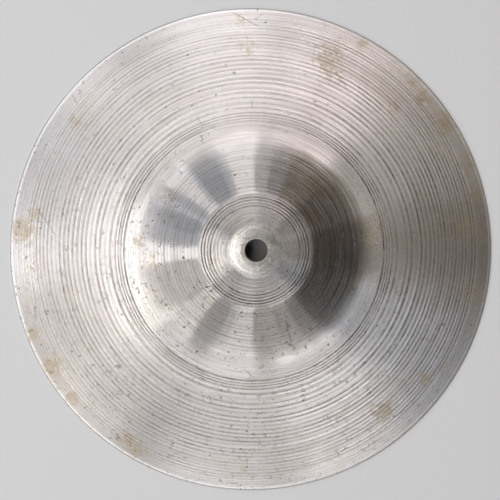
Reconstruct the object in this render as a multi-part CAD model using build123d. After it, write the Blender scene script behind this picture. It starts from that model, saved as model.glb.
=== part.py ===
from build123d import *
import math
import os

# One hi-hat cymbal, cast and hammered in bell bronze and turned on a lathe about +Z.
# Millimetres. The origin is on the axis at the plane the rim rests on, and the bell rises to +Z.

# Overall sizes
RIM_RADIUS = 139.7
HOLE_RADIUS = 6.0

# Radii where the shape of the upper face changes
SEAT_RADIUS = 7.5
CROWN_INNER_RADIUS = 9.0
CROWN_RADIUS = 12.5
CROWN_OUTER_RADIUS = 19.7
SHOULDER_RADIUS = 24.6
BELL_TOP_RADIUS = 31.0
BELL_EDGE_RADIUS = 32.2
BELL_STEEPEST_RADIUS = 37.0
BELL_SIDE_RADIUS = 45.0
BELL_FLANK_RADIUS = 52.0
BELL_FOOT_RADIUS = 59.5
SWEEP_RADIUS = 64.0
HOLLOW_RADIUS = 70.0
BORDER_RADIUS = 74.4
BOW_START_RADIUS = 79.0
BOW_INNER_RADIUS = 90.0
BOW_MIDDLE_RADIUS = 107.0
EDGE_BAND_RADIUS = 131.3

# Fall of the upper face per millimetre of radius at each of those radii
SEAT_SLOPE = 0.0
CROWN_INNER_SLOPE = 0.05
CROWN_SLOPE = 0.056
CROWN_OUTER_SLOPE = 0.08
SHOULDER_SLOPE = 0.10
BELL_TOP_SLOPE = 0.13
BELL_EDGE_SLOPE = 0.50
BELL_STEEPEST_SLOPE = 0.61
BELL_SIDE_SLOPE = 0.57
BELL_FLANK_SLOPE = 0.47
BELL_FOOT_SLOPE = 0.33
SWEEP_SLOPE = 0.19
HOLLOW_SLOPE = 0.05
BORDER_SLOPE = 0.05
BOW_START_SLOPE = 0.07
BOW_INNER_SLOPE = 0.09
BOW_MIDDLE_SLOPE = 0.12
EDGE_BAND_SLOPE = 0.14
RIM_SLOPE = 0.13

# Wall thickness, measured square to the upper face
SEAT_WALL = 1.4
BELL_WALL = 1.15
BOW_WALL = 0.95
RIM_WALL = 0.8

# Rings left by the turning tool: the depth of each shallow hollow, and their spacing.
# The border is the group of rings between the foot of the bell and the bow.
CROWN_RING_DEPTH = 0.025
CROWN_RING_PITCH = 2.0
SHOULDER_RING_DEPTH = 0.06
SHOULDER_RING_PITCH = 1.6
BELL_RING_DEPTH = 0.035
BELL_RING_PITCH = 2.05
BORDER_RING_DEPTH = 0.07
BORDER_RING_PITCH = 1.55
BOW_RING_DEPTH = 0.06
BOW_RING_PITCH_INNER = 3.0
BOW_RING_PITCH_OUTER = 1.7

# Edges
HOLE_DEBURR = 0.2
RIM_BEVEL_WIDTH = 0.9
RIM_BEVEL_DROP = 0.15
RIM_LAND_WIDTH = 0.7

FULL_TURN = 360.0

SLOPES = [
    (HOLE_RADIUS, SEAT_SLOPE),
    (SEAT_RADIUS, SEAT_SLOPE),
    (CROWN_INNER_RADIUS, CROWN_INNER_SLOPE),
    (CROWN_RADIUS, CROWN_SLOPE),
    (CROWN_OUTER_RADIUS, CROWN_OUTER_SLOPE),
    (SHOULDER_RADIUS, SHOULDER_SLOPE),
    (BELL_TOP_RADIUS, BELL_TOP_SLOPE),
    (BELL_EDGE_RADIUS, BELL_EDGE_SLOPE),
    (BELL_STEEPEST_RADIUS, BELL_STEEPEST_SLOPE),
    (BELL_SIDE_RADIUS, BELL_SIDE_SLOPE),
    (BELL_FLANK_RADIUS, BELL_FLANK_SLOPE),
    (BELL_FOOT_RADIUS, BELL_FOOT_SLOPE),
    (SWEEP_RADIUS, SWEEP_SLOPE),
    (HOLLOW_RADIUS, HOLLOW_SLOPE),
    (BORDER_RADIUS, BORDER_SLOPE),
    (BOW_START_RADIUS, BOW_START_SLOPE),
    (BOW_INNER_RADIUS, BOW_INNER_SLOPE),
    (BOW_MIDDLE_RADIUS, BOW_MIDDLE_SLOPE),
    (EDGE_BAND_RADIUS, EDGE_BAND_SLOPE),
    (RIM_RADIUS, RIM_SLOPE),
]

WALLS = [
    (HOLE_RADIUS, SEAT_WALL),
    (CROWN_RADIUS, SEAT_WALL),
    (BELL_STEEPEST_RADIUS, BELL_WALL),
    (SWEEP_RADIUS, BELL_WALL),
    (BOW_START_RADIUS, BOW_WALL),
    (EDGE_BAND_RADIUS, BOW_WALL),
    (RIM_RADIUS, RIM_WALL),
]

# Each group of rings: where it starts and ends, its first and last pitch, and its depth
RING_GROUPS = [
    (CROWN_RADIUS, SHOULDER_RADIUS, CROWN_RING_PITCH, CROWN_RING_PITCH, CROWN_RING_DEPTH),
    (SHOULDER_RADIUS, BELL_TOP_RADIUS, SHOULDER_RING_PITCH, SHOULDER_RING_PITCH, SHOULDER_RING_DEPTH),
    (BELL_TOP_RADIUS, BELL_FOOT_RADIUS, BELL_RING_PITCH, BELL_RING_PITCH, BELL_RING_DEPTH),
    (BORDER_RADIUS, BOW_START_RADIUS, BORDER_RING_PITCH, BORDER_RING_PITCH, BORDER_RING_DEPTH),
    (BOW_START_RADIUS, EDGE_BAND_RADIUS, BOW_RING_PITCH_INNER, BOW_RING_PITCH_OUTER, BOW_RING_DEPTH),
]


def between(table, radius):
    """The value of a (radius, value) table at one radius, on straight lines between its rows."""
    for (inner, first), (outer, second) in zip(table, table[1:]):
        if radius <= outer:
            share = (radius - inner) / (outer - inner)
            return first + (second - first) * share
    return table[-1][1]


def fall(radius):
    """How far the upper face falls from the hole to one radius: the slopes summed outwards."""
    total = 0.0
    for (inner, first), (outer, _) in zip(SLOPES, SLOPES[1:]):
        reach = min(radius, outer)
        if reach <= inner:
            break
        total += (reach - inner) * (first + between(SLOPES, reach)) / 2
    return total


# The face is at the height of the wall above the resting plane at the rim.
CROWN_HEIGHT = RIM_WALL * math.hypot(1.0, RIM_SLOPE) + fall(RIM_RADIUS)


def upper(radius):
    """The point of the upper face at one radius."""
    return Vector(radius, CROWN_HEIGHT - fall(radius))


def outward(radius):
    """The direction square to the upper face at one radius, pointing up."""
    return Vector(between(SLOPES, radius), 1.0).normalized()


def lower(radius):
    """The point of the lower face under the upper face's point at one radius."""
    return upper(radius) - outward(radius) * between(WALLS, radius)


def crests(start, end, first_pitch, last_pitch):
    """Radii of the crests of a group of rings, the pitch changing evenly from first to last."""
    mean_pitch = (first_pitch + last_pitch) / 2
    count = round((end - start) / mean_pitch)
    change = (first_pitch - last_pitch) / mean_pitch / 2
    shares = [index / count for index in range(count + 1)]
    return [start + (end - start) * (s + change * s * (1.0 - s)) for s in shares]


def smooth_run(face, start, end):
    """One smooth curve of a face, through its height at each change of slope on the way."""
    stations = [radius for radius, _ in SLOPES if start < radius < end]
    radii = [start, *stations, end]
    middles = [(inner + outer) / 2 for inner, outer in zip(radii, radii[1:])]
    points = [face(radius) for radius in sorted(radii + middles)]
    ends = [Vector(1.0, -between(SLOPES, radius)) for radius in (start, end)]
    return Spline(*points, tangents=ends)


def ringed_run(face, radii, depth):
    """Arcs of one face from crest to crest, each hollowed by the depth into the wall."""
    into_wall = -1.0 if face is upper else 1.0
    arcs = []
    for inner, outer in zip(radii, radii[1:]):
        middle = (inner + outer) / 2
        hollow = face(middle) + outward(middle) * depth * into_wall
        arcs.append(ThreePointArc(face(inner), hollow, face(outer)))
    return arcs


def face_curves(face, first, last):
    """One whole face of the cymbal from the hole outwards, between two end radii."""
    curves = [Line(face(first), face(SEAT_RADIUS))]
    reached = SEAT_RADIUS
    for start, end, first_pitch, last_pitch, depth in RING_GROUPS:
        if start > reached:
            curves.append(smooth_run(face, reached, start))
        curves += ringed_run(face, crests(start, end, first_pitch, last_pitch), depth)
        reached = end
    return [*curves, smooth_run(face, reached, last)]


def hole_curves():
    """The wall of the hole with its deburred corners, from the lower face up to the upper."""
    top = upper(HOLE_RADIUS).Y
    bottom = top - SEAT_WALL
    return [
        Line((HOLE_RADIUS + HOLE_DEBURR, bottom), (HOLE_RADIUS, bottom + HOLE_DEBURR)),
        Line((HOLE_RADIUS, bottom + HOLE_DEBURR), (HOLE_RADIUS, top - HOLE_DEBURR)),
        Line((HOLE_RADIUS, top - HOLE_DEBURR), (HOLE_RADIUS + HOLE_DEBURR, top)),
    ]


def rim_curves(upper_end, lower_end):
    """The bevel, the upright edge and the flat land the rim rests on."""
    bevel_foot = Vector(RIM_RADIUS, upper(RIM_RADIUS).Y - RIM_BEVEL_DROP)
    corner = Vector(RIM_RADIUS, 0.0)
    land = Vector(RIM_RADIUS - RIM_LAND_WIDTH, 0.0)
    return [
        Line(upper(upper_end), bevel_foot),
        Line(bevel_foot, corner),
        Line(corner, land),
        Line(land, lower(lower_end)),
    ]


def make_cymbal():
    """The cymbal as one turned solid."""
    upper_end = RIM_RADIUS - RIM_BEVEL_WIDTH
    lower_end = RIM_RADIUS - 2 * RIM_LAND_WIDTH
    hole_edge = HOLE_RADIUS + HOLE_DEBURR
    edges = [
        *face_curves(upper, hole_edge, upper_end),
        *rim_curves(upper_end, lower_end),
        *face_curves(lower, hole_edge, lower_end),
        *hole_curves(),
    ]
    section = make_face(Wire.combine(edges)[0].edges())
    return revolve(Plane.XZ * section, Axis.Z, FULL_TURN)


def export_parts():
    """Build the cymbal and write it as its node's STEP file."""
    cymbal = make_cymbal()
    cymbal.label = "cymbal"
    os.makedirs("parts", exist_ok=True)
    export_step(cymbal, "parts/cymbal.step")


export_parts()
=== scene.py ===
"""Looks of an 11 inch hi-hat cymbal: one turned bronze disc, its faded finish, and a small studio.

Everything is in metres in the row frame: the origin on the cymbal's axis at the plane the rim
rests on, and +Z up through the bell. Sizes of the disc are held in millimetres and turned into
metres when its mesh is made.
"""

from __future__ import annotations

import logging
import math
from dataclasses import dataclass, field
from enum import Enum
from typing import Any

import bpy
import numpy as np
from mathutils import Matrix, Vector

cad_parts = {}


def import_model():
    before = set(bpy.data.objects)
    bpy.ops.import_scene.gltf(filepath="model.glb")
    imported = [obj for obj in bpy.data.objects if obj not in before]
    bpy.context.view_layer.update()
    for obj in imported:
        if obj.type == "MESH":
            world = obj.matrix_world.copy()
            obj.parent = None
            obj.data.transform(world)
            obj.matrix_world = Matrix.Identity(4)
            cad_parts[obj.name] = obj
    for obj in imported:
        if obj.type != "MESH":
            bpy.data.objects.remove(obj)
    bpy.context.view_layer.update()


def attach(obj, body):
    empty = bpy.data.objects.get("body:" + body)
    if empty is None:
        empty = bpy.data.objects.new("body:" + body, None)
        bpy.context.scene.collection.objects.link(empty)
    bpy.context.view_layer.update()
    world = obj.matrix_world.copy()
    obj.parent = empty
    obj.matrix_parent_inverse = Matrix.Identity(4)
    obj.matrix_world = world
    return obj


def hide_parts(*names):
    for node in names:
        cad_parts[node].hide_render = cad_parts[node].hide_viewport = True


LOG = logging.getLogger("cymbal")
MM = 0.001
NOISE_MIDDLE = 0.5


def add_object(name: str, data: bpy.types.ID) -> bpy.types.Object:
    """Put a new object in the scene.

    Args:
        name: Its name.
        data: The mesh, light or camera that it shows.

    Returns:
        The object.
    """
    made = bpy.data.objects.new(name, data)
    bpy.context.scene.collection.objects.link(made)
    return made


# ---------------------------------------------------------------- shader maths


class Graph:
    """A node tree, with the one method that makes its nodes."""

    def __init__(self, tree: bpy.types.NodeTree) -> None:
        """Start from an empty tree.

        Args:
            tree: The tree to fill. Nodes that it holds are removed.
        """
        self.tree = tree
        tree.nodes.clear()

    def node(
        self,
        kind: str,
        settings: dict[str, Any] | None = None,
        inputs: dict[str | int, Any] | None = None,
    ) -> bpy.types.Node:
        """Add one node.

        Args:
            kind: The node's type name.
            settings: Properties set first.
            inputs: Values or links of its sockets, by name or number.

        Returns:
            The new node.
        """
        made = self.tree.nodes.new(kind)
        for name, value in (settings or {}).items():
            setattr(made, name, value)
        for key, value in (inputs or {}).items():
            source = value.socket if isinstance(value, Num) else value
            if isinstance(source, bpy.types.NodeSocket):
                self.tree.links.new(source, made.inputs[key])
            else:
                made.inputs[key].default_value = source
        return made

    def math(self, operation: str, *values: Any) -> Num:
        """Add a Math node on numbers or sockets and return its result."""
        made = self.node("ShaderNodeMath", {"operation": operation}, dict(enumerate(values)))
        return Num(self, made.outputs[0])

    def step(self, value: Any, low: float, high: float) -> Num:
        """A smooth step: 0 at low, 1 at high, and level outside them."""
        made = self.node(
            "ShaderNodeMapRange",
            {"interpolation_type": "SMOOTHSTEP"},
            {"Value": value, "From Min": low, "From Max": high},
        )
        return Num(self, made.outputs["Result"])

    def vector(self, x: Any, y: Any, z: Any) -> bpy.types.NodeSocket:
        """Three numbers as one vector."""
        return self.node("ShaderNodeCombineXYZ", {}, {0: x, 1: y, 2: z}).outputs[0]

    def attribute(self, name: str) -> Num:
        """A value kept at the mesh's points."""
        return Num(self, self.node("ShaderNodeAttribute", {"attribute_name": name}).outputs["Fac"])

    def scaled(self, colour: Any, factor: Any) -> bpy.types.NodeSocket:
        """A colour times a number."""
        made = self.node("ShaderNodeVectorMath", {"operation": "SCALE"}, {0: colour, "Scale": factor})
        return made.outputs[0]

    def blend(self, factor: Any, first: Any, second: Any) -> bpy.types.NodeSocket:
        """A colour between two colours: the first at factor 0 and the second at 1."""
        made = self.node("ShaderNodeMix", {"data_type": "RGBA"}, {0: factor, 6: first, 7: second})
        return made.outputs[2]


@dataclass(frozen=True)
class Num:
    """A number in a node tree, on which Python's operators add Math nodes."""

    graph: Graph
    socket: bpy.types.NodeSocket

    def __add__(self, other: Any) -> Num:
        """Self plus other."""
        return self.graph.math("ADD", self, other)

    def __radd__(self, other: Any) -> Num:
        """Other plus self."""
        return self.graph.math("ADD", other, self)

    def __sub__(self, other: Any) -> Num:
        """Self minus other."""
        return self.graph.math("SUBTRACT", self, other)

    def __rsub__(self, other: Any) -> Num:
        """Other minus self."""
        return self.graph.math("SUBTRACT", other, self)

    def __mul__(self, other: Any) -> Num:
        """Self times other."""
        return self.graph.math("MULTIPLY", self, other)

    def __rmul__(self, other: Any) -> Num:
        """Other times self."""
        return self.graph.math("MULTIPLY", other, self)

    def __truediv__(self, other: Any) -> Num:
        """Self over other."""
        return self.graph.math("DIVIDE", self, other)

    def __pow__(self, other: Any) -> Num:
        """Self to the power of other."""
        return self.graph.math("POWER", self, other)

    def __abs__(self) -> Num:
        """Its size without its sign."""
        return self.graph.math("ABSOLUTE", self)

    def __or__(self, other: Any) -> Num:
        """The larger of the two, which joins two masks."""
        return self.graph.math("MAXIMUM", self, other)


@dataclass(frozen=True)
class Ramp:
    """A smooth rise over a value: 0 up to low, and 1 from high on."""

    low: float
    high: float

    def at(self, value: Num) -> Num:
        """The rise at a value."""
        return value.graph.step(value, self.low, self.high)


@dataclass(frozen=True)
class Clouds:
    """Smooth random values near the middle of 0 to 1.

    Attributes:
        scale: Lumps per unit of the vector that they are read at.
        detail: Extra finer octaves.
        rough: How strong the finer octaves are.
    """

    scale: float
    detail: float = 2.0
    rough: float = 0.5

    def node(self, graph: Graph, place: Any) -> bpy.types.Node:
        """Their node, which gives a number and a colour, read at a place."""
        return graph.node(
            "ShaderNodeTexNoise",
            {"noise_dimensions": "3D", "normalize": True},
            {"Vector": place, "Scale": self.scale, "Detail": self.detail, "Roughness": self.rough},
        )

    def at(self, graph: Graph, place: Any) -> Num:
        """Their number at a place."""
        return Num(graph, self.node(graph, place).outputs[0])


@dataclass(frozen=True)
class Spot:
    """The point that is being shaded, in millimetres.

    Attributes:
        graph: The node tree.
        x: Its place along +X.
        y: Its place along +Y.
        radius: Its distance from the axis.
        place: Its place as one vector.
    """

    graph: Graph
    x: Num
    y: Num
    radius: Num
    place: bpy.types.NodeSocket

    @classmethod
    def read(cls, graph: Graph) -> Spot:
        """Read the point from the Object coordinates.

        Args:
            graph: The node tree.

        Returns:
            The point.
        """
        place = graph.node("ShaderNodeTexCoord").outputs["Object"]
        axes = graph.node("ShaderNodeSeparateXYZ", {}, {0: place})
        x, y, z = (Num(graph, socket) / MM for socket in axes.outputs)
        return cls(graph, x, y, (x * x + y * y) ** 0.5, graph.vector(x, y, z))

    def noise(self, clouds: Clouds) -> Num:
        """A noise at the point."""
        return clouds.at(self.graph, self.place)

    def towards(self, heading: tuple[float, float]) -> Num:
        """How squarely the point lies to one side of the axis, from -1 to 1."""
        return (self.x * heading[0] + self.y * heading[1]) / self.radius


def new_material(name: str) -> tuple[bpy.types.Material, Graph]:
    """Make a material with an empty node tree.

    Args:
        name: Its name.

    Returns:
        The material and its node tree.
    """
    made = bpy.data.materials.new(name)
    made.use_nodes = True
    return made, Graph(made.node_tree)


# ---------------------------------------------------------------- wear


@dataclass(frozen=True)
class Stain:
    """A patch of tarnish on the upper face.

    Attributes:
        angle: Degrees round the axis from +X.
        radius: Distance of its middle from the axis, in millimetres.
        size: Radius of the patch in millimetres.
        strength: How strong it is, up to 1.
        reach: Distance at which it has faded out, in sizes.
    """

    angle: float
    radius: float
    size: float
    strength: float
    reach: float = 1.3

    def cover(self, x: np.ndarray, y: np.ndarray) -> np.ndarray:
        """How strongly it covers each point.

        The cover is the reach less the distance over the size, held between 0 and 1, times the
        strength.

        Args:
            x: Places along +X in millimetres.
            y: Places along +Y in millimetres.

        Returns:
            Values from 0 to 1.
        """
        turn = math.radians(self.angle)
        dx, dy = x - self.radius * math.cos(turn), y - self.radius * math.sin(turn)
        return self.strength * np.clip(self.reach - np.hypot(dx, dy) / self.size, 0, 1)


@dataclass(frozen=True)
class Scratch:
    """A scratch on the upper face.

    Attributes:
        angle: Degrees round the axis from +X.
        radius: Distance of its middle from the axis, in millimetres.
        heading: Degrees from +X along which it runs.
        length: Length in millimetres.
        width: Width in millimetres.
        wobble: How far it strays to either side, in millimetres.
        strength: How dark it is, up to 1.
        core: Distance from its middle line at which it starts to fade, in widths.
        blur: Distance from its middle line at which it has faded out, in widths.
        taper: Length over which each end fades, in millimetres.
        gain: What makes a noise that stays near its middle stray by the whole wobble.
    """

    angle: float
    radius: float
    heading: float
    length: float
    width: float
    wobble: float
    strength: float
    core: float = 0.3
    blur: float = 0.8
    taper: float = 1.5
    gain: float = 4.0

    def mask(self, spot: Spot, stray: Num) -> Num:
        """Its cover at a point of the face.

        Args:
            spot: The point.
            stray: The noise that bends it.

        Returns:
            The cover, 0 off the scratch.
        """
        turn, heading = math.radians(self.angle), math.radians(self.heading)
        dx, dy = spot.x - self.radius * math.cos(turn), spot.y - self.radius * math.sin(turn)
        bend = (stray - NOISE_MIDDLE) * self.wobble * self.gain
        along = dx * math.cos(heading) + dy * math.sin(heading)
        across = dy * math.cos(heading) - dx * math.sin(heading) + bend
        half = self.length / 2
        narrow = 1 - Ramp(self.width * self.core, self.width * self.blur).at(abs(across))
        short = 1 - Ramp(half - self.taper, half).at(abs(along))
        return narrow * short * self.strength


# ---------------------------------------------------------------- the disc's shape


class Face(Enum):
    """The two faces of the disc."""

    UPPER = "upper"
    LOWER = "lower"


@dataclass(frozen=True)
class Profile:
    """The disc's section without its rings, in millimetres.

    The upper face's slope is a chain of straight lines over the radius, so its height is a chain
    of parabolas with no corner between them.
    """

    knots: tuple[float, ...] = (
        6.0, 7.5, 9.0, 12.5, 19.7, 24.6, 31.0, 32.2, 37.0, 45.0,
        52.0, 59.5, 64.0, 70.0, 74.4, 79.0, 90.0, 107.0, 131.3, 139.7,
    )  # fmt: skip
    slopes: tuple[float, ...] = (
        0.0, 0.0, 0.05, 0.056, 0.08, 0.10, 0.13, 0.50, 0.61, 0.57,
        0.47, 0.33, 0.19, 0.05, 0.05, 0.07, 0.09, 0.12, 0.14, 0.13,
    )  # fmt: skip
    wall_knots: tuple[float, ...] = (6.0, 12.5, 37.0, 64.0, 79.0, 131.3, 139.7)
    walls: tuple[float, ...] = (1.4, 1.4, 1.15, 1.15, 0.95, 0.95, 0.8)

    @property
    def hole(self) -> float:
        """Radius of the hole."""
        return self.knots[0]

    @property
    def rim(self) -> float:
        """Radius of the rim."""
        return self.knots[-1]

    def slope(self, radius: np.ndarray) -> np.ndarray:
        """Fall of the upper face per unit of radius."""
        return np.interp(radius, self.knots, self.slopes)

    def fall(self, radius: np.ndarray) -> np.ndarray:
        """Fall of the upper face from the hole to each radius.

        The fall at a knot is the sum, over the knots before it, of the step times the mean of its
        two slopes. Past that knot it grows by the reach times the mean slope over the reach.

        Args:
            radius: Radii in millimetres.

        Returns:
            The falls in millimetres.
        """
        knots, slopes = np.array(self.knots), np.array(self.slopes)
        steps = np.diff(knots) * (slopes[:-1] + slopes[1:]) / 2
        at_knots = np.concatenate([[0.0], np.cumsum(steps)])
        index = np.clip(np.searchsorted(knots, radius, side="right") - 1, 0, len(knots) - 2)
        reach = radius - knots[index]
        return at_knots[index] + reach * (slopes[index] + self.slope(radius)) / 2

    def wall(self, radius: np.ndarray) -> np.ndarray:
        """Thickness square to the face at each radius."""
        return np.interp(radius, self.wall_knots, self.walls)

    @property
    def rim_fall(self) -> float:
        """Fall of the upper face from the hole to the rim."""
        return float(self.fall(np.array([self.rim]))[0])

    @property
    def crown_height(self) -> float:
        """Height of the face round the hole above the plane the rim rests on."""
        upright_wall = self.walls[-1] * math.hypot(1.0, self.slopes[-1])
        return upright_wall + self.rim_fall


@dataclass(frozen=True)
class RingGroup:
    """A run of turned rings between two radii, in millimetres.

    Crest number i of n lies at share s = i / n of the run, moved by k s (1 - s), so that the
    pitch changes evenly from the first value to the last.

    Attributes:
        name: What the run is called.
        start: Radius of its first crest.
        end: Radius of its last crest.
        first_pitch: Distance between crests at its start.
        last_pitch: Distance between crests at its end.
        depth: Usual depth of the hollows between crests.
        grime: How much dirt the dirtiest crests hold.
        least: How much of that the cleanest crests hold, as a share.
        samples: Points across one ring of the upper face.
        uneven: Least and most depth of a ring, as shares of the usual one.
        grime_reach: How far the grime reaches off a crest, as a share of the pitch.
    """

    name: str
    start: float
    end: float
    first_pitch: float
    last_pitch: float
    depth: float
    grime: float
    least: float
    samples: int
    uneven: tuple[float, float] = (0.4, 1.35)
    grime_reach: float = 0.30

    @property
    def seed(self) -> int:
        """Seed of its random draws: its start in tenths of a millimetre."""
        return round(self.start * 10)

    def crests(self) -> np.ndarray:
        """Place the crests between the rings.

        Returns:
            Their radii.
        """
        mean_pitch = (self.first_pitch + self.last_pitch) / 2
        count = round((self.end - self.start) / mean_pitch)
        change = (self.first_pitch - self.last_pitch) / mean_pitch / 2
        share = np.arange(count + 1) / count
        return self.start + (self.end - self.start) * (share + change * share * (1 - share))

    def sampled(self, samples: int) -> tuple[np.ndarray, np.ndarray, np.ndarray]:
        """Points across every ring.

        A ring's hollow is a parabola across it, 4 t (1 - t) times its depth for t from crest to
        crest. The grime falls on a straight line from the crest to nothing at its reach. The depth
        and the grime vary from ring to ring by seeded random factors.

        Args:
            samples: Steps across one ring.

        Returns:
            The radii, the depths below the face, and the grime, each without the last crest.
        """
        draws = np.random.default_rng(self.seed)
        crests = self.crests()
        across = np.arange(samples) / samples
        radii = crests[:-1, None] + np.diff(crests)[:, None] * across
        uneven = draws.uniform(*self.uneven, len(crests) - 1)[:, None]
        depths = self.depth * uneven * 4 * across * (1 - across)
        dirt = draws.uniform(self.least, 1.0, len(crests) - 1)[:, None]
        off_crest = np.minimum(across, 1 - across)
        grime = self.grime * dirt * np.clip(1 - off_crest / self.grime_reach, 0, 1)
        return radii.ravel(), depths.ravel(), grime.ravel()


def faded(distance: np.ndarray, over: float) -> np.ndarray:
    """A straight rise from 0 at no distance to 1 at the one given."""
    return np.clip(distance / over, 0, 1)


@dataclass
class CymbalDisc:
    """The cymbal: one closed skin round the section, turned about the axis.

    Attributes:
        name: Name of its piece.
        node: The CAD node that it stands for.
        profile: Its section without rings.
        turns: Points round the axis.
        rings: Its groups of rings, from the hole outwards.
        under_samples: Points across one ring of the lower face.
        plain_step: Distance between points where there are no rings, in millimetres.
        hole_deburr: Size of the deburred corners of the hole, in millimetres.
        collar: Width of the narrow row beside them, which keeps their shading off the face.
        bevel_width: Width of the bevel on top of the rim, in millimetres.
        bevel_drop: How far that bevel falls, in millimetres.
        land_width: Width of the flat land under the rim, in millimetres.
        wander: How far the rings are off centre at most, in millimetres.
        wander_start: Radius up to which they are centred, in millimetres.
        wander_rise: Distance over which the wander then grows, in millimetres.
        wander_margin: Width along the rim that is centred again, in millimetres.
        wander_fall: Distance over which the wander fades before it, in millimetres.
        wander_heading: Middle direction of the wander, in radians.
        wander_swing: How far it swings to either side of that, in radians.
        wander_pace: Change of radius for a radian of that swing, in millimetres.
        dents: Number of hammer dents.
        dent_depth: Depth of the deepest dents, in millimetres.
        dent_width: Spread of one dent, in millimetres.
        dent_zone: Radii between which dents have their middles, in millimetres.
        dent_start: Radius from which dents show, in millimetres.
        dent_fade: Distance over which they fade in there and fade out at the rim, in millimetres.
        dent_seed: Seed of their draws.
        stains: Patches of tarnish on its upper face.
    """

    name: str = "cymbal_disc"
    node: str = "cymbal"
    profile: Profile = field(default_factory=Profile)
    turns: int = 216
    rings: tuple[RingGroup, ...] = (
        RingGroup("crown", 12.5, 24.6, 2.0, 2.0, 0.025, 0.50, 0.3, 3),
        RingGroup("shoulder", 24.6, 31.0, 1.6, 1.6, 0.060, 1.40, 0.5, 4),
        RingGroup("bell", 31.0, 59.5, 2.05, 2.05, 0.035, 0.58, 0.2, 4),
        RingGroup("border", 74.4, 79.0, 1.55, 1.55, 0.070, 1.75, 0.35, 4),
        RingGroup("bow", 79.0, 131.3, 3.0, 1.7, 0.060, 0.86, 0.25, 5),
        RingGroup("edge", 131.3, 138.0, 1.7, 1.6, 0.010, 0.45, 0.3, 4),
    )
    under_samples: int = 3
    plain_step: float = 1.0
    hole_deburr: float = 0.2
    collar: float = 0.15
    bevel_width: float = 0.9
    bevel_drop: float = 0.15
    land_width: float = 0.7
    wander: float = 0.5
    wander_start: float = 9.0
    wander_rise: float = 10.0
    wander_margin: float = 1.5
    wander_fall: float = 9.0
    wander_heading: float = 0.8
    wander_swing: float = 2.4
    wander_pace: float = 17.0
    dents: int = 90
    dent_depth: float = 0.05
    dent_width: float = 9.0
    dent_zone: tuple[float, float] = (66.0, 132.0)
    dent_start: float = 64.0
    dent_fade: float = 8.0
    dent_seed: int = 21
    stains: tuple[Stain, ...] = ()

    def face_samples(self, face: Face) -> tuple[np.ndarray, np.ndarray, np.ndarray]:
        """Points along one face from the hole to the rim.

        Args:
            face: Which face. The lower one has fewer points across each ring.

        Returns:
            The radii, the depths of the rings, and the grime, from the hole outwards.
        """
        upper = face is Face.UPPER
        last = self.profile.rim - (self.bevel_width if upper else 2 * self.land_width)
        hole_edge = self.profile.hole + self.hole_deburr
        reached = hole_edge + self.collar
        runs = [self.plain_run(hole_edge, reached)]
        for group in self.rings:
            runs.append(self.plain_run(reached, group.start))
            runs.append(group.sampled(group.samples if upper else self.under_samples))
            reached = group.end
        runs.append(self.plain_run(reached, last))
        runs.append((np.array([last]), np.zeros(1), np.zeros(1)))
        return tuple(np.concatenate(column) for column in zip(*runs))

    def plain_run(self, start: float, end: float) -> tuple[np.ndarray, np.ndarray, np.ndarray]:
        """Points about a step apart where there are no rings.

        Args:
            start: Radius of the first.
            end: Radius that the run stops short of.

        Returns:
            The radii, and no depth and no grime at each.
        """
        count = math.ceil((end - start) / self.plain_step)
        radii = start + (end - start) * np.arange(count) / max(count, 1)
        return radii, np.zeros(count), np.zeros(count)

    def hammering(self, radius: np.ndarray, turn: np.ndarray) -> np.ndarray:
        """Shallow dents left by hammering before the disc was turned.

        Each dent is a Gaussian of the distance to its middle. Middles are spread evenly over the
        bow by seeded draws. The sum fades out before the rim and at the foot of the bell.

        Args:
            radius: Radii in millimetres, on the grid.
            turn: Angles in radians, on the grid.

        Returns:
            Depths in millimetres.
        """
        draws = np.random.default_rng(self.dent_seed)
        inner, outer = self.dent_zone
        middles_r = np.sqrt(draws.uniform(inner**2, outer**2, self.dents))
        middles_t = draws.uniform(0.0, 2 * np.pi, self.dents)
        depths = draws.uniform(-1.0, 1.0, self.dents) * self.dent_depth
        x, y = radius * np.cos(turn), radius * np.sin(turn)
        total = np.zeros_like(radius)
        for middle_r, middle_t, depth in zip(middles_r, middles_t, depths):
            dx, dy = x - middle_r * math.cos(middle_t), y - middle_r * math.sin(middle_t)
            total += depth * np.exp(-(dx**2 + dy**2) / (2 * self.dent_width**2))
        before_rim, past_start = self.profile.rim - radius, radius - self.dent_start
        return total * (faded(before_rim, self.dent_fade) * faded(past_start, self.dent_fade))

    def wandered(self, radius: np.ndarray, turn: np.ndarray) -> np.ndarray:
        """Radii of the rings as cut by hand, slightly off the centre.

        A ring's middle is moved in a direction that changes slowly with the radius, by an amount
        that fades out at the hole and the rim: the radius becomes itself plus the wander times the
        fade times the cosine of the angle to that direction.

        Args:
            radius: Nominal radii, as a column.
            turn: Angles in radians, as a row.

        Returns:
            The radii on the grid.
        """
        past_start = radius - self.wander_start
        before_rim = self.profile.rim - radius - self.wander_margin
        fade = faded(past_start, self.wander_rise) * faded(before_rim, self.wander_fall)
        direction = self.wander_heading + self.wander_swing * np.sin(radius / self.wander_pace)
        return radius + self.wander * fade * np.cos(turn - direction)

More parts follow.
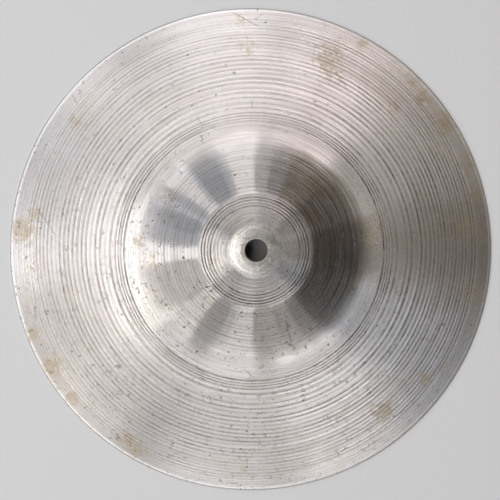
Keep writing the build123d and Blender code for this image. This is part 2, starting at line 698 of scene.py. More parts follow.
    def section(self) -> tuple[np.ndarray, np.ndarray, np.ndarray, np.ndarray]:
        """The closed section, from the hole out over the upper face and back under it.

        Returns:
            Nominal radius, ring depth, grime, and side: 1 on the upper face, -1 on the lower one,
            and 0 at the corners of the rim and the hole.
        """
        up = self.face_samples(Face.UPPER)
        down = tuple(values[::-1] for values in self.face_samples(Face.LOWER))
        rim = self.profile.rim
        rim_corners = np.array([rim, rim, rim, rim - self.land_width])
        hole_corners = np.array([self.profile.hole, self.profile.hole])
        at_rim, at_hole = np.zeros_like(rim_corners), np.zeros_like(hole_corners)
        radius = np.concatenate([up[0], rim_corners, down[0], hole_corners])
        depth = np.concatenate([up[1], at_rim, down[1], at_hole])
        grime = np.concatenate([up[2], at_rim, down[2], at_hole])
        side = np.concatenate([np.ones_like(up[0]), at_rim, -np.ones_like(down[0]), at_hole])
        return radius, depth, grime, side

    def surface(self) -> tuple[np.ndarray, np.ndarray, np.ndarray]:
        """The skin as a grid of points round the section and round the axis.

        On the upper face a point's height is the crown's height less the fall and the ring depth.
        On the lower face it is carried down and inwards by the wall, square to the upper face.

        Returns:
            Points in millimetres, shape (section, turns, 3), the grime of each, and 1 for each
            that is on the upper face.
        """
        nominal, depth, grime, side = self.section()
        turn = np.linspace(0.0, 2 * np.pi, self.turns, endpoint=False)[None, :]
        column = nominal[:, None]
        radius = np.where(side[:, None] == 0, column, self.wandered(column, turn))
        dent = self.hammering(radius, turn + np.zeros_like(radius))
        slope = self.profile.slope(radius)
        level = self.profile.crown_height - self.profile.fall(radius) - dent
        scale = np.hypot(1.0, slope)
        inwards = self.profile.wall(radius) - depth[:, None]
        lower = side[:, None] < 0
        height = np.where(lower, level - inwards / scale, level - depth[:, None])
        radius = np.where(lower, radius - inwards * slope / scale, radius)
        self._set_corners(height, side)
        points = np.stack([radius * np.cos(turn), radius * np.sin(turn), height], axis=-1)
        spread = np.ones((1, self.turns))
        return points, grime[:, None] * spread, (side > 0)[:, None] * spread

    def _set_corners(self, height: np.ndarray, side: np.ndarray) -> None:
        """Set the heights of the rim's four corners and the hole's two.

        Args:
            height: Heights on the grid, changed in place.
            side: The side of each point of the section.
        """
        corners = np.flatnonzero(side == 0)
        top = self.profile.crown_height
        bottom = top - self.profile.walls[0]
        bevel_foot = top - self.profile.rim_fall - self.bevel_drop
        levels = [bevel_foot, bevel_foot / 2, 0.0, 0.0]
        levels += [bottom + self.hole_deburr, top - self.hole_deburr]
        height[corners] = np.array(levels)[:, None]

    def stained(self, points: np.ndarray) -> np.ndarray:
        """The strongest cover of any stain at each point."""
        x, y = points[..., 0], points[..., 1]
        return np.max([stain.cover(x, y) for stain in self.stains], axis=0)

    def build(self) -> bpy.types.Object:
        """Make the object, riding on the root body in place of its CAD node.

        Quads join each point to the next along the section and the next round the axis, and both
        ways close on themselves, so the skin has no seam and no pole.

        Returns:
            The object.
        """
        points, grime, on_top = self.surface()
        rows, columns = points.shape[:2]
        index = np.arange(rows * columns).reshape(rows, columns)
        along, round_axis = np.roll(index, -1, axis=0), np.roll(index, -1, axis=1)
        diagonal = np.roll(along, -1, axis=1)
        quads = np.stack([index, along, diagonal, round_axis], axis=-1).reshape(-1, 4)
        mesh = bpy.data.meshes.new(self.name)
        mesh.vertices.add(rows * columns)
        mesh.vertices.foreach_set("co", (points.reshape(-1, 3) * MM).astype(np.float32).ravel())
        mesh.loops.add(quads.size)
        mesh.loops.foreach_set("vertex_index", quads.ravel().astype(np.int32))
        mesh.polygons.add(len(quads))
        mesh.polygons.foreach_set("loop_start", np.arange(0, quads.size, 4, dtype=np.int32))
        mesh.update(calc_edges=True)
        mesh.polygons.foreach_set("use_smooth", np.ones(len(quads), dtype=bool))
        for name, values in (("grime", grime), ("stain", self.stained(points) * on_top)):
            kept = mesh.attributes.new(name, "FLOAT", "POINT")
            kept.data.foreach_set("value", values.ravel().astype(np.float32))
        mesh.validate()
        disc = add_object(self.name, mesh)
        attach(disc, "root")
        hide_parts(self.node)
        LOG.info("%s: %d points, %d quads", self.name, rows * columns, len(quads))
        LOG.info("%s: rings on the %s", self.name, ", ".join(group.name for group in self.rings))
        return disc

    def dress(self, disc: bpy.types.Object, finish: FadedBronze) -> None:
        """Give the disc its finish."""
        disc.data.materials.append(finish.material(self.profile))


# ---------------------------------------------------------------- marks of the finish


@dataclass(frozen=True)
class ArcLines:
    """Lines stretched into arcs round the axis.

    A noise is read at the direction from the axis times one factor, with the radius times another
    as the third coordinate. So it changes slowly round the axis, fast across it, and has no seam.

    Attributes:
        round_axis: Factor of the direction.
        across: Factor of the radius.
        clouds: The noise.
        share: What the noise is multiplied by.
    """

    round_axis: float
    across: float
    clouds: Clouds
    share: float

    def at(self, spot: Spot) -> Num:
        """The lines at a point.

        Args:
            spot: The point.

        Returns:
            Their share of the noise there.
        """
        x, y = spot.x / spot.radius * self.round_axis, spot.y / spot.radius * self.round_axis
        place = spot.graph.vector(x, y, spot.radius * self.across)
        return self.clouds.at(spot.graph, place) * self.share


@dataclass(frozen=True)
class TurningMarks:
    """Fine lines from the turning tool: the sum of narrow ones and wider ones."""

    narrow: ArcLines = ArcLines(1.6, 1.35, Clouds(1.0, 3.0, 0.6), 0.65)
    wide: ArcLines = ArcLines(2.5, 0.42, Clouds(1.0), 0.35)
    contrast: Ramp = Ramp(0.28, 0.72)

    def mask(self, spot: Spot) -> Num:
        """How strong they are at a point."""
        return self.contrast.at(self.narrow.at(spot) + self.wide.at(spot))


@dataclass(frozen=True)
class Soil:
    """Dirt on the crests of the rings, thick and thin in patches and broken up along them."""

    patches: Clouds = Clouds(0.06, 3.0)
    patch_edges: Ramp = Ramp(0.30, 0.62)
    breaks: Clouds = Clouds(0.42)
    break_edges: Ramp = Ramp(0.36, 0.62)
    least: float = 0.30
    by_patch: float = 0.38
    by_break: float = 0.32

    def mask(self, spot: Spot) -> Num:
        """Its cover: the mesh's grime times a share that varies over the face.

        Args:
            spot: The point.

        Returns:
            The cover.
        """
        patches = self.patch_edges.at(spot.noise(self.patches))
        broken = self.break_edges.at(spot.noise(self.breaks))
        share = self.least + patches * self.by_patch + broken * self.by_break
        return spot.graph.attribute("grime") * share


@dataclass(frozen=True)
class Tarnish:
    """Warm patches: the stains with ragged, speckled edges, and a faint mottle near the rim."""

    ragged: Clouds = Clouds(0.30, 6.0, 0.80)
    ragged_gain: float = 4.8
    threshold: float = 0.42
    stain_edges: Ramp = Ramp(0.0, 0.20)
    speckle: Clouds = Clouds(0.8, 3.0, 0.6)
    speckle_edges: Ramp = Ramp(0.42, 0.56)
    mottle: Clouds = Clouds(0.045, 4.0, 0.55)
    mottle_edges: Ramp = Ramp(0.50, 0.72)
    mottle_cover: float = 0.06
    rim_mottle: float = 0.14
    towards_rim: Ramp = Ramp(95.0, 138.0)
    stain_cover: float = 0.32
    by_stain: float = 0.26
    between_speckles: float = 0.85
    by_speckle: float = 0.55

    def mask(self, spot: Spot) -> Num:
        """Its cover at a point.

        A stain shows where its strength, moved up or down by the ragged noise, passes the
        threshold.

        Args:
            spot: The point.

        Returns:
            The cover.
        """
        ragged = spot.noise(self.ragged)
        speckle = self.speckle_edges.at(spot.noise(self.speckle))
        stain = spot.graph.attribute("stain")
        raised = stain + (ragged - NOISE_MIDDLE) * self.ragged_gain - self.threshold
        spread = self.stain_edges.at(raised) * self.stain_edges.at(stain)
        mottle = self.mottle_edges.at(spot.noise(self.mottle))
        faint = mottle * (self.mottle_cover + self.towards_rim.at(spot.radius) * self.rim_mottle)
        depth = self.stain_cover + stain * self.by_stain
        return faint | spread * depth * (self.between_speckles + speckle * self.by_speckle)


@dataclass(frozen=True)
class Pits:
    """Small dark pits and short cracks, crowded together in places and towards one side.

    The pits are the middles of some cells of a random net, with its lines bent by noise. The
    cracks are short bits of a noise's contour lines, kept where a second noise is high.
    """

    crowds: Clouds = Clouds(0.035, 3.0, 0.6)
    crowded_side: tuple[float, float] = (-0.6, -0.8)
    by_side: float = 0.17
    bends: Clouds = Clouds(1.3)
    bend_size: tuple[float, float, float] = (0.9, 0.9, 0.0)
    cells_per_mm: float = 0.28
    pit_crowding: float = 0.30
    pit_chance: Ramp = Ramp(1.075, 1.08)
    pit_size: float = 0.06
    more_size: float = 0.14
    size_power: int = 3
    pit_edges: Ramp = Ramp(0.55, 1.15)
    pit_cover: float = 0.8
    contours: Clouds = Clouds(0.26)
    contour_edges: Ramp = Ramp(0.006, 0.022)
    crack_places: Clouds = Clouds(0.33, 1.0)
    crack_crowding: float = 0.40
    crack_chance: Ramp = Ramp(0.820, 0.850)
    crack_cover: float = 0.6

    def mask(self, spot: Spot) -> Num:
        """Their cover at a point.

        Args:
            spot: The point.

        Returns:
            The cover.
        """
        crowd = spot.noise(self.crowds) + spot.towards(self.crowded_side) * self.by_side
        pits, cracks = self._pits(spot, crowd), self._cracks(spot, crowd)
        return pits * self.pit_cover | cracks * self.crack_cover

    def _pits(self, spot: Spot, crowd: Num) -> Num:
        """The pits: each chosen cell's middle, out to that cell's own random size.

        Args:
            spot: The point.
            crowd: How crowded the place is.

        Returns:
            1 inside a pit.
        """
        graph = spot.graph
        bend = self.bends.node(graph, spot.place).outputs[1]
        bent = graph.node(
            "ShaderNodeVectorMath",
            {"operation": "MULTIPLY_ADD"},
            {0: bend, 1: self.bend_size, 2: spot.place},
        )
        cells = graph.node(
            "ShaderNodeTexVoronoi",
            {"voronoi_dimensions": "2D", "feature": "F1"},
            {"Vector": bent.outputs[0], "Scale": self.cells_per_mm, "Randomness": 1.0},
        )
        draws = graph.node("ShaderNodeSeparateColor", {}, {0: cells.outputs["Color"]})
        chosen = self.pit_chance.at(Num(graph, draws.outputs[0]) + crowd * self.pit_crowding)
        size = self.pit_size + Num(graph, draws.outputs[1]) ** self.size_power * self.more_size
        inside = 1 - self.pit_edges.at(Num(graph, cells.outputs["Distance"]) / size)
        return inside * chosen

    def _cracks(self, spot: Spot, crowd: Num) -> Num:
        """The cracks: where the contour noise is close to its middle, in the places kept.

        Args:
            spot: The point.
            crowd: How crowded the place is.

        Returns:
            1 inside a crack.
        """
        contour = abs(spot.noise(self.contours) - NOISE_MIDDLE)
        kept = self.crack_chance.at(spot.noise(self.crack_places) + crowd * self.crack_crowding)
        return (1 - self.contour_edges.at(contour)) * kept


@dataclass(frozen=True)
class Scratches:
    """The scratches of the upper face, all bent by the same noise."""

    each: tuple[Scratch, ...]
    bends: Clouds = Clouds(0.25, 3.0, 0.6)

    def mask(self, spot: Spot) -> Num:
        """Their cover at a point.

        Args:
            spot: The point.

        Returns:
            The cover.
        """
        stray = spot.noise(self.bends)
        total = self.each[0].mask(spot, stray)
        for scratch in self.each[1:]:
            total = total | scratch.mask(spot, stray)
        return total


# ---------------------------------------------------------------- finishes


@dataclass(frozen=True)
class Zones:
    """Masks of the disc's zones and sides, each 1 inside.

    Attributes:
        crown: The rubbed middle of the crown.
        edge: The worn edge along the rim, also lighter as a painted highlight.
        bore: The wall of the hole and its corners.
        bow: The bow, outside the hollow.
        bell: The flank of the bell.
        painted_shade_side: The +X side, whose bell carries painted shade and painted highlights in its
            lines.
        calm: The side with less dirt.
    """

    crown: Num
    edge: Num
    bore: Num
    bow: Num
    bell: Num
    painted_shade_side: Num
    calm: Num


@dataclass(frozen=True)
class Marks:
    """Masks of what marks the metal.

    Attributes:
        turned: Lines from the turning tool.
        tarnish: Warm patches.
        pits: Pits and cracks.
        scratches: Scratches.
        scuffs: Fine scuffing, a noise and not a mask.
        soil: Dirt on the crests, with painted shade added on the +X side.
        blotches: Brown blotches on the +X side of the bell.
    """

    turned: Num
    tarnish: Num
    pits: Num
    scratches: Num
    scuffs: Num
    soil: Num
    blotches: Num


@dataclass(frozen=True)
class Roughening:
    """How much roughness each mark and zone adds."""

    turned: float = 0.06
    tarnish: float = 0.12
    soil: float = 0.15
    pits: float = 0.3
    scuffs: float = 0.1
    edge: float = 0.12
    bore: float = 0.3

    def total(self, marks: Marks, zones: Zones) -> Num:
        """Add up what they do at a point.

        Args:
            marks: The marks there.
            zones: The zones there.

        Returns:
            The roughness to add.
        """
        worn = (marks.turned - NOISE_MIDDLE) * self.turned + marks.tarnish * self.tarnish
        worn = worn + marks.soil * self.soil + marks.pits * self.pits
        worn = worn + zones.crown * (marks.scuffs - NOISE_MIDDLE) * self.scuffs
        return worn + zones.edge * self.edge + zones.bore * self.bore


@dataclass(frozen=True)
class Relief:
    """How far each mark raises or cuts the face, in millimetres."""

    turned: float = 0.010
    scuffs: float = 0.006
    pits: float = 0.05
    scratches: float = 0.02

    def height(self, marks: Marks, zones: Zones) -> Num:
        """The height at a point."""
        raised = (marks.turned - NOISE_MIDDLE) * self.turned + zones.crown * marks.scuffs * self.scuffs
        return raised - marks.pits * self.pits - marks.scratches * self.scratches


@dataclass(frozen=True)
class FadedBronze:
    """Turned bell bronze, faded to a pale warm silver, with tarnish, pits and old scratches.

    Its zones are ramps over the radius in millimetres, and a grain is a roughness and an
    anisotropy. Its colour also holds painted light and shade: darker and lighter zones, stronger
    turned lines and darker crest lines on the +X side of the bell, a near black hole wall, and a
    rim edge that is partly a painted highlight.
    """

    # the metal, and what covers it
    clean: tuple[float, float, float, float] = (0.74, 0.69, 0.655, 1.0)
    dull: tuple[float, float, float, float] = (0.60, 0.55, 0.51, 1.0)
    tarnished: tuple[float, float, float, float] = (0.52, 0.41, 0.27, 1.0)
    rust: tuple[float, float, float, float] = (0.42, 0.31, 0.21, 1.0)
    # dark dirt; the same colour is also the painted shade on the hole's wall
    grime: tuple[float, float, float, float] = (0.12, 0.10, 0.08, 1.0)
    rubbed: tuple[float, float, float] = (0.83, 0.78, 0.71)
    # the rim edge's colour: worn metal, and lighter still as a painted highlight
    worn_and_highlit_edge: tuple[float, float, float, float] = (0.92, 0.89, 0.85, 1.0)

    # the grain that turning left in each zone
    bell_grain: tuple[float, float] = (0.225, 1.0)
    bow_grain: tuple[float, float] = (0.27, 0.72)
    crown_grain: tuple[float, float] = (0.26, 0.0)
    turn_of_grain: float = 0.25

    # where the zones begin and end, and which sides differ
    crown_end: Ramp = Ramp(14.0, 15.8)
    edge_before_rim: tuple[float, float] = (2.2, 1.2)
    bore_past_hole: tuple[float, float] = (0.25, 0.6)
    bow_start: Ramp = Ramp(68.0, 80.0)
    bell_start: Ramp = Ramp(26.0, 33.0)
    bell_end: Ramp = Ramp(58.0, 68.0)
    # the +X side, where the bell's colour carries painted shade and painted highlights
    painted_shade_heading: tuple[float, float] = (0.97, 0.24)
    painted_shade_side_edges: Ramp = Ramp(0.20, 0.95)
    calm_edges: Ramp = Ramp(0.50, 1.00)

    # painted shade: darker crest lines on the +X side, most on the bell; and less dirt on the +Y side
    side_painted_crest_shade: float = 0.45
    bell_painted_crest_shade: float = 2.4
    calm_soil: float = 0.40
    scuffs: Clouds = Clouds(0.55, 5.0, 0.7)
    blotches: Clouds = Clouds(0.11, 4.0, 0.6)
    blotch_edges: Ramp = Ramp(0.46, 0.68)
    blotch_cover: float = 0.45

    # painted light: the bell darker, the hollow round it lighter, the bow a little darker, stronger
    # lines on the bell's +X side; and how far each colour covers
    bell_painted_shade: float = 0.80
    hollow_painted_highlight: float = 0.28
    hollow_start: Ramp = Ramp(52.0, 70.0)
    bow_painted_shade: float = 0.08
    hollow_end: Ramp = Ramp(76.0, 92.0)
    # painted highlight and painted shade of the turned lines on the +X side of the bell
    side_painted_highlight: float = 0.34
    side_painted_line_shade: float = 1.02
    dull_cover: float = 0.9
    rubbed_tone: float = 0.91
    rubbed_swing: float = 0.14
    # painted shade: how far the hole's wall is coloured near black
    bore_painted_shade: float = 0.95

    # the marks
    turning: TurningMarks = TurningMarks()
    soil: Soil = Soil()
    tarnish: Tarnish = Tarnish()
    pits: Pits = Pits()
    roughening: Roughening = Roughening()
    relief: Relief = Relief()
    scratches: tuple[Scratch, ...] = ()

    def material(self, profile: Profile) -> bpy.types.Material:
        """Build the material: one shader for each grain, mixed by zone.

        Args:
            profile: The disc's section, for the radii of its hole and rim.

        Returns:
            The material.
        """
        made, graph = new_material("faded_bronze")
        spot = Spot.read(graph)
        zones = self._zones(spot, profile)
        marks = self._marks(spot, zones)
        colour = self._colour(spot, zones, marks)
        worn = self.roughening.total(marks, zones)
        height = self.relief.height(marks, zones)
        bump = graph.node("ShaderNodeBump", {}, {"Strength": 1.0, "Distance": MM, "Height": height})
        bell, bow, crown = [
            graph.node(
                "ShaderNodeBsdfPrincipled",
                {},
                {
                    "Base Color": colour,
                    "Metallic": 1.0,
                    "Roughness": roughness + worn,
                    "Anisotropic": anisotropy,
                    "Anisotropic Rotation": self.turn_of_grain,
                    "Normal": bump.outputs[0],
                },
            ).outputs[0]
            for roughness, anisotropy in (self.bell_grain, self.bow_grain, self.crown_grain)
        ]
        turned = graph.node("ShaderNodeMixShader", {}, {0: zones.bow, 1: bell, 2: bow}).outputs[0]
        smooth = zones.crown | zones.edge
        mixed = graph.node("ShaderNodeMixShader", {}, {0: smooth, 1: turned, 2: crown}).outputs[0]
        graph.node("ShaderNodeOutputMaterial", {}, {"Surface": mixed})
        return made

    def _zones(self, spot: Spot, profile: Profile) -> Zones:
        """The zones and sides at a point.

        Args:
            spot: The point.
            profile: The disc's section.

        Returns:
            The zones.
        """
        edge = Ramp(*(profile.rim - inset for inset in self.edge_before_rim))
        bore = Ramp(*(profile.hole + past for past in self.bore_past_hole))
        return Zones(
            crown=1 - self.crown_end.at(spot.radius),
            edge=edge.at(spot.radius),
            bore=1 - bore.at(spot.radius),
            bow=self.bow_start.at(spot.radius),
            bell=self.bell_start.at(spot.radius) * (1 - self.bell_end.at(spot.radius)),
            painted_shade_side=self.painted_shade_side_edges.at(spot.towards(self.painted_shade_heading)),
            calm=self.calm_edges.at(spot.y / spot.radius),
        )

    def _marks(self, spot: Spot, zones: Zones) -> Marks:
        """The marks at a point. The crown is rubbed clean of soil and blotches, and on the +X side the
        crest lines carry painted shade.

        Args:
            spot: The point.
            zones: Its zones.

        Returns:
            The marks.
        """
        # painted shade: extra darkness for the crest lines on the +X side, most on the bell
        painted_crest_shade = zones.painted_shade_side * (self.side_painted_crest_shade + zones.bell * self.bell_painted_crest_shade)
        unrubbed = 1 - zones.crown
        blotches = self.blotch_edges.at(spot.noise(self.blotches))
        return Marks(
            turned=self.turning.mask(spot),
            tarnish=self.tarnish.mask(spot),
            pits=self.pits.mask(spot),
            scratches=Scratches(self.scratches).mask(spot),
            scuffs=spot.noise(self.scuffs),
            soil=self.soil.mask(spot) * unrubbed * (1 + painted_crest_shade - zones.calm * self.calm_soil),
            blotches=blotches * zones.painted_shade_side * zones.bell * unrubbed,
        )

    def _colour(self, spot: Spot, zones: Zones, marks: Marks) -> bpy.types.NodeSocket:
        """The colour at a point: the metal's own with painted light and shade, then what covers it.

        The bell is painted darker, the hollow round it lighter and the bow a little darker; the turned
        lines on the +X side of the bell are painted lighter and darker; the hole's wall is painted
        near black as shade; and the rim's edge is worn and lighter still as a painted highlight.

        Args:
            spot: The point.
            zones: Its zones.
            marks: Its marks.

        Returns:
            The colour.
        """
        graph, radius = spot.graph, spot.radius
        # painted light: the bell darker, the hollow round it lighter, and the bow a little darker than
        # the hollow
        painted_zone_light = self.bell_painted_shade + self.hollow_painted_highlight * self.hollow_start.at(radius)
        painted_zone_light = painted_zone_light - self.bow_painted_shade * self.hollow_end.at(radius)
        # painted light: on the +X side of the bell the metal is painted lighter between the turned
        # lines and darker on them
        contrast = 1 + zones.painted_shade_side * zones.bell * (self.side_painted_highlight - marks.turned * self.side_painted_line_shade)
        colour = graph.blend(marks.turned * self.dull_cover, self.clean, self.dull)
        colour = graph.scaled(colour, painted_zone_light * contrast)
        colour = graph.blend(marks.blotches * self.blotch_cover, colour, self.rust)
        rubbed = graph.scaled(self.rubbed, self.rubbed_tone + marks.scuffs * self.rubbed_swing)
        colour = graph.blend(zones.crown, colour, rubbed)
        # painted shade: the hole's wall and corners coloured near black
        colour = graph.blend(zones.bore * self.bore_painted_shade, colour, self.grime)
        # the rim's edge: real wear, plus a painted highlight lighter than the clean metal
        colour = graph.blend(zones.edge, colour, self.worn_and_highlit_edge)
        colour = graph.blend(marks.tarnish, colour, self.tarnished)
        colour = graph.blend(marks.soil, colour, self.grime)
        return graph.blend(marks.scratches | marks.pits, colour, self.grime)


@dataclass(frozen=True)
class FloorPaint:
    """A plain pale matt floor, which glows far out, where the lights don't reach it."""

    colour: tuple[float, float, float, float] = (0.82, 0.80, 0.77, 1.0)
    clouded: float = 0.96
    clouds: Clouds = Clouds(3.0)
    roughness: float = 0.9
    gloss: float = 0.1
    glow: float = 0.50
    lit_end: Ramp = Ramp(0.8, 2.0)

    def material(self) -> bpy.types.Material:
        """Build the material, with a faint cloudiness so it isn't dead flat.

        Returns:
            The material.
        """
        made, graph = new_material("floor_paint")
        made.cycles.emission_sampling = "NONE"
        place = graph.node("ShaderNodeTexCoord").outputs["Object"]
        distance = graph.node("ShaderNodeVectorMath", {"operation": "LENGTH"}, {0: place})
        far = self.lit_end.at(Num(graph, distance.outputs["Value"]))
        darker = (*(value * self.clouded for value in self.colour[:3]), 1.0)
        shader = graph.node(
            "ShaderNodeBsdfPrincipled",
            {},
            {
                "Base Color": graph.blend(self.clouds.at(graph, place), self.colour, darker),
                "Roughness": self.roughness,
                "Specular IOR Level": self.gloss,
                "Emission Color": graph.scaled(self.colour[:3], far * self.glow),
                "Emission Strength": 1.0,
            },
        )
        graph.node("ShaderNodeOutputMaterial", {}, {"Surface": shader.outputs[0]})
        return made


@dataclass(frozen=True)
class BackdropPaint:
    """A plain pale backdrop that glows evenly, as a lit studio wall does."""

    colour: tuple[float, float, float, float] = (0.54, 0.53, 0.51, 1.0)

    def material(self) -> bpy.types.Material:
        """Build the material.

        Returns:
            The material.
        """
        made, graph = new_material("backdrop_paint")
        made.cycles.emission_sampling = "NONE"
        glow = graph.node("ShaderNodeEmission", {}, {"Color": self.colour})
        graph.node("ShaderNodeOutputMaterial", {}, {"Surface": glow.outputs[0]})
        return made


# ---------------------------------------------------------------- studio


PLAIN = (1.0, 1.0, 1.0)
LIGHT_DISTANCE = 1.5


def outwards(azimuth: float, zenith: float) -> Vector:
    """The way from the origin at an angle round the axis and one down from it, in degrees."""
    turn, drop = math.radians(azimuth), math.radians(zenith)
    return Vector((math.sin(drop) * math.cos(turn), math.sin(drop) * math.sin(turn), math.cos(drop)))


def lay_axes(thing: bpy.types.Object, across: Vector, up: Vector, back: Vector) -> None:
    """Turn an object so that its own X, Y and Z lie along three directions."""
    thing.rotation_mode = "QUATERNION"
    thing.rotation_quaternion = Matrix((across, up, back)).transposed().to_quaternion()


@dataclass(frozen=True)
class Softbox:
    """One soft light that faces the origin.

    Attributes:
        azimuth: Degrees round the axis from +X.
        zenith: Degrees down from straight up.
        width: Size round the axis, in metres.
        length: Size along the arc to straight up, in metres.
        glow: Brightness of its face.
        tint: Its colour.
        distance: Metres from the origin.
    """

    azimuth: float
    zenith: float
    width: float
    length: float
    glow: float
    tint: tuple[float, float, float] = PLAIN
    distance: float = LIGHT_DISTANCE

    def place(self, number: int) -> bpy.types.Object:
        """Make the light.

        Args:
            number: Its number in the studio, for its name.

        Returns:
            The light's object.
        """
        lamp = bpy.data.lights.new(f"softbox_{number}", "AREA")
        lamp.shape = "RECTANGLE"
        lamp.size, lamp.size_y = self.width, self.length
        lamp.energy = self.glow * math.pi * self.width * self.length
        lamp.color = self.tint
        made = add_object(lamp.name, lamp)
        turn = math.radians(self.azimuth)
        out = outwards(self.azimuth, self.zenith)
        across = Vector((-math.sin(turn), math.cos(turn), 0.0))
        made.location = out * self.distance
        lay_axes(made, across, out.cross(across), out)
        made.visible_camera = False
        return made


@dataclass(frozen=True)
class Fan:
    """A tall softbox between two directions round the axis.

    Attributes:
        first: Degrees round the axis where it starts.
        last: Degrees round the axis where it ends.
        glow: Brightness of its face.
        tint: Its colour.
        top: Degrees down from straight up to its top edge.
        foot: Degrees down from straight up to its foot.
        distance: Metres from the origin.
    """

    first: float
    last: float
    glow: float
    tint: tuple[float, float, float]
    top: float = 34.0
    foot: float = 78.0
    distance: float = LIGHT_DISTANCE

    def box(self) -> Softbox:
        """Fill it with a softbox.

        Returns:
            The softbox, half way between its edges and as wide and long as they allow.
        """
        zenith = (self.top + self.foot) / 2
        half_turn = math.radians(self.last - self.first) / 2
        width = 2 * self.distance * math.sin(math.radians(zenith)) * math.tan(half_turn)
        length = 2 * self.distance * math.tan(math.radians(self.foot - self.top) / 2)
        azimuth = (self.first + self.last) / 2
        return Softbox(azimuth, zenith, width, length, self.glow, self.tint, self.distance)


@dataclass
class Studio:
    """The floor, the backdrop, the lights, the surroundings and the camera.

    Attributes:
        floor_half: Half the floor's side, in metres.
        floor_drop: How far the floor is under the rim, in metres.
        backdrop_radius: Radius of the backdrop, in metres.
        backdrop_height: Height of its top, in metres.
        backdrop_sides: Number of its flat sides.
        surround: Colour of the light from all round.
        eye_distance: Distance of the camera from the origin, in metres.
        eye_azimuth: Degrees round the axis to the camera.
        eye_tilt: Degrees from straight up to the camera.
        rim_share: How much of the picture's width the rim fills.
        rim_radius: Radius of the rim, in metres.
        sensor_width: Width of the camera's sensor, in millimetres.
        shift_x: Sideways shift of the picture, in widths.
        nearest: Distance from which the camera sees, in metres.
        farthest: Distance up to which it sees, in metres.
        softboxes: The lights.
    """

    floor_half: float = 4.0
    floor_drop: float = 0.0003
    backdrop_radius: float = 2.2
    backdrop_height: float = 3.0
    backdrop_sides: int = 96
    surround: tuple[float, float, float, float] = (0.03, 0.03, 0.03, 1.0)
    eye_distance: float = 0.45
    eye_azimuth: float = 166.0
    eye_tilt: float = 2.55
    rim_share: float = 0.9616
    rim_radius: float = 0.1397
    sensor_width: float = 36.0
    shift_x: float = -0.0080
    nearest: float = 0.01
    farthest: float = 50.0
    softboxes: tuple[Softbox, ...] = ()

    def build_floor(self, paint: FloorPaint) -> bpy.types.Object:
        """Make the floor, a little under the rim.

        Args:
            paint: Its finish.

        Returns:
            The floor.
        """
        half = self.floor_half
        corners = [(-half, -half), (half, -half), (half, half), (-half, half)]
        mesh = bpy.data.meshes.new("floor")
        mesh.from_pydata([(x, y, -self.floor_drop) for x, y in corners], [], [(0, 1, 2, 3)])
        mesh.materials.append(paint.material())
        floor = add_object("floor", mesh)
        return floor

    def build_backdrop(self, paint: BackdropPaint) -> bpy.types.Object:
        """Make the round wall that stands behind the cymbal in low views.

        The wall is a cylinder: points at its radius round the axis, at the floor and at its top.
        Only the camera sees it, so it adds no light and no reflection.

        Args:
            paint: Its finish.

        Returns:
            The wall.
        """
        count = self.backdrop_sides
        turn = np.linspace(0.0, 2 * np.pi, count, endpoint=False)
        ring = np.stack([np.cos(turn), np.sin(turn)], axis=-1) * self.backdrop_radius
        foot = np.column_stack([ring, np.full(count, -self.floor_drop)])
        top = np.column_stack([ring, np.full(count, self.backdrop_height)])
        here = np.arange(count)
        beside = np.roll(here, -1)
        quads = np.stack([here, here + count, beside + count, beside], axis=-1)
        mesh = bpy.data.meshes.new("backdrop")
        mesh.from_pydata(np.concatenate([foot, top]).tolist(), [], quads.tolist())
        mesh.materials.append(paint.material())
        wall = add_object("backdrop", mesh)
        wall.visible_glossy = wall.visible_diffuse = wall.visible_shadow = False
        return wall

    def build_surround(self) -> None:
        """Light the scene evenly and dimly from all round."""
        world = bpy.data.worlds.new("surround")
        world.use_nodes = True
        graph = Graph(world.node_tree)
        back = graph.node("ShaderNodeBackground", {}, {"Color": self.surround, "Strength": 1.0})
        graph.node("ShaderNodeOutputWorld", {}, {"Surface": back.outputs[0]})
        bpy.context.scene.world = world

    def build_lights(self) -> None:
        """Place every softbox."""
        for number, box in enumerate(self.softboxes):
            box.place(number)
        LOG.info("studio: %d softboxes", len(self.softboxes))

    def build_camera(self) -> bpy.types.Object:
        """Make the camera, almost straight above the cymbal.

        The lens is half the sensor over the tangent of half the view, and half the view is the
        angle whose tangent is the rim's radius over its share and over the distance.

        Returns:
            The camera.
        """
        lens = bpy.data.cameras.new("eye")
        eye = add_object("eye", lens)
        back = outwards(self.eye_azimuth, self.eye_tilt)
        eye.location = back * self.eye_distance
        side = Vector((0.0, 1.0, 0.0)).cross(back).normalized()
        lay_axes(eye, side, back.cross(side), back)
        half_view = math.atan(self.rim_radius / self.rim_share / self.eye_distance)
        lens.sensor_width = self.sensor_width
        lens.lens = lens.sensor_width / 2 / math.tan(half_view)
        lens.clip_start, lens.clip_end = self.nearest, self.farthest
        lens.shift_x = self.shift_x
        bpy.context.scene.camera = eye
        return eye


# ---------------------------------------------------------------- where the wear and the lights are


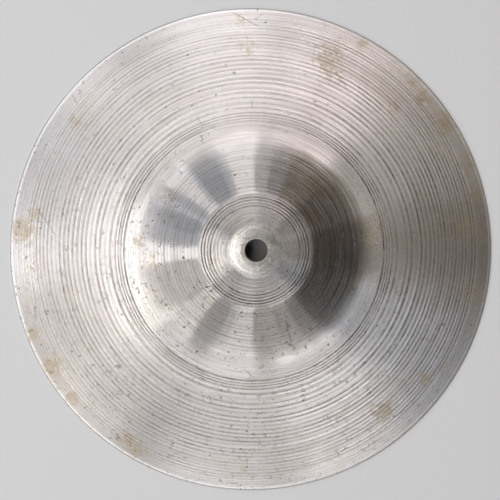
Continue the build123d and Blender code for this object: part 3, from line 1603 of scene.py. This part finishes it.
STAINS = (
    # in the hollow and on the bell
    Stain(8, 69, 9, 0.8), Stain(187, 59, 7, 0.5), Stain(148, 58, 6, 0.7), Stain(158, 50, 5, 0.5),
    Stain(-14, 89, 8, 0.5), Stain(176, 65, 5, 0.6),
    # along the rim, from +X round to +Y
    Stain(6, 125, 12, 0.8), Stain(14, 133, 6, 0.8), Stain(22, 135, 8, 0.7), Stain(34, 134, 8, 1.0),
    Stain(42, 133, 6, 0.9), Stain(46, 116, 6, 0.6), Stain(47, 135, 5, 0.8), Stain(62, 136, 5, 0.7),
    Stain(69, 119, 11, 0.75), Stain(66, 113, 8, 0.6), Stain(92, 117, 8, 0.5), Stain(93, 133, 6, 0.4),
    # from -X round to -Y
    Stain(144, 125, 5, 0.7), Stain(171, 126, 6, 0.7), Stain(175, 132, 9, 1.0), Stain(184, 125, 9, 0.4),
    Stain(201, 136, 6, 0.8), Stain(210, 133, 8, 0.9), Stain(219, 135, 6, 0.9), Stain(236, 131, 6, 0.9),
    Stain(240, 133, 6, 1.0), Stain(267, 127, 7, 0.6),
    # from -Y round to +X
    Stain(298, 107, 6, 0.4), Stain(309, 120, 8, 0.9), Stain(313, 100, 6, 0.4), Stain(323, 125, 6, 0.8),
    Stain(329, 131, 7, 0.5), Stain(349, 130, 8, 0.9),
)  # fmt: skip

SCRATCHES = (
    Scratch(92, 133, -28, 19, 0.35, 0.3, 0.55),
    Scratch(172, 120, -55, 22, 0.30, 0.5, 0.50),
    Scratch(140, 134, -62, 8, 0.40, 0.2, 0.50),
    Scratch(113, 80, -58, 7, 0.35, 0.2, 0.70),
    Scratch(91, 83, -88, 6, 0.35, 0.1, 0.60),
    Scratch(123, 13, 35, 9, 0.35, 0.2, 0.70),
    Scratch(100, 17, 26, 6, 0.30, 0.2, 0.60),
    Scratch(292, 52, -76, 20, 0.60, 3.2, 0.80),
)

BROWN = (1.0, 0.84, 0.64)
PINK = (1.0, 0.95, 1.0)
COOL = (0.92, 0.94, 1.0)
BLUE = (0.80, 0.88, 1.0)

# A ring of tall boxes low down. The gaps and steps between them throw the fans of light and dark
# that cross the bell and the bow.
FANS = (
    Fan(-30, 15, 0.015, BROWN),
    Fan(15, 40, 0.12, BROWN),
    Fan(40, 64, 0.21, BROWN),
    Fan(64, 76, 0.40, COOL),
    Fan(76, 87, 0.74, COOL),
    Fan(87, 106, 1.62, COOL),
    Fan(106, 112, 0.72, BLUE),
    Fan(112, 127, 0.55, BLUE),
    Fan(127, 130, 1.00, BLUE),
    Fan(130, 141, 1.45, COOL),
    Fan(141, 147, 0.74, BLUE),
    Fan(147, 153, 1.10, BLUE),
    Fan(153, 164, 0.64, BLUE),
    Fan(164, 177, 0.80, BLUE),
    Fan(177, 189, 2.15, COOL),
    Fan(189, 218, 1.00, PLAIN),
    Fan(218, 235, 1.34, PLAIN),
    Fan(235, 249, 0.60, COOL),
    Fan(249, 254, 0.85, COOL),
    Fan(254, 272, 1.32, COOL),
    Fan(272, 290, 0.60, PLAIN),
    Fan(290, 302, 0.50, PLAIN),
    Fan(302, 312, 0.26, PLAIN),
    Fan(312, 330, 0.03, PLAIN),
)

# Boxes higher up, which the hollow round the bell and the crown pick up.
OVERHEAD = (
    Softbox(0, 28, 0.40, 0.32, 0.3, BROWN),
    Softbox(30, 28, 0.40, 0.32, 0.9),
    Softbox(60, 28, 0.40, 0.32, 2.6, PINK),
    Softbox(100, 28, 0.60, 0.32, 1.1, PINK),
    Softbox(150, 28, 0.80, 0.32, 0.6, PINK),
    Softbox(270, 28, 0.40, 0.32, 0.3),
    Softbox(300, 28, 0.40, 0.32, 2.4, COOL),
    Softbox(330, 28, 0.40, 0.32, 1.35, BLUE),
    Softbox(105, 17, 0.46, 0.26, 1.9),
    Softbox(150, 17, 0.24, 0.26, 1.75, COOL),
    Softbox(180, 17, 0.24, 0.26, 3.0, COOL),
    Softbox(210, 17, 0.24, 0.26, 3.8),
    Softbox(255, 17, 0.46, 0.26, 2.2, COOL),
    Softbox(183, 10, 0.32, 0.12, 4.3),
)


def main() -> None:
    """Build the cymbal and the studio."""
    logging.basicConfig(level=logging.INFO)
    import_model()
    disc = CymbalDisc(stains=STAINS)
    made = disc.build()
    disc.dress(made, FadedBronze(scratches=SCRATCHES))
    studio = Studio(softboxes=tuple(fan.box() for fan in FANS) + OVERHEAD)
    studio.build_floor(FloorPaint())
    studio.build_backdrop(BackdropPaint())
    studio.build_surround()
    studio.build_lights()
    studio.build_camera()
    bpy.context.scene.view_settings.view_transform = "Standard"
    bpy.context.view_layer.update()


if __name__ == "__main__":
    main()
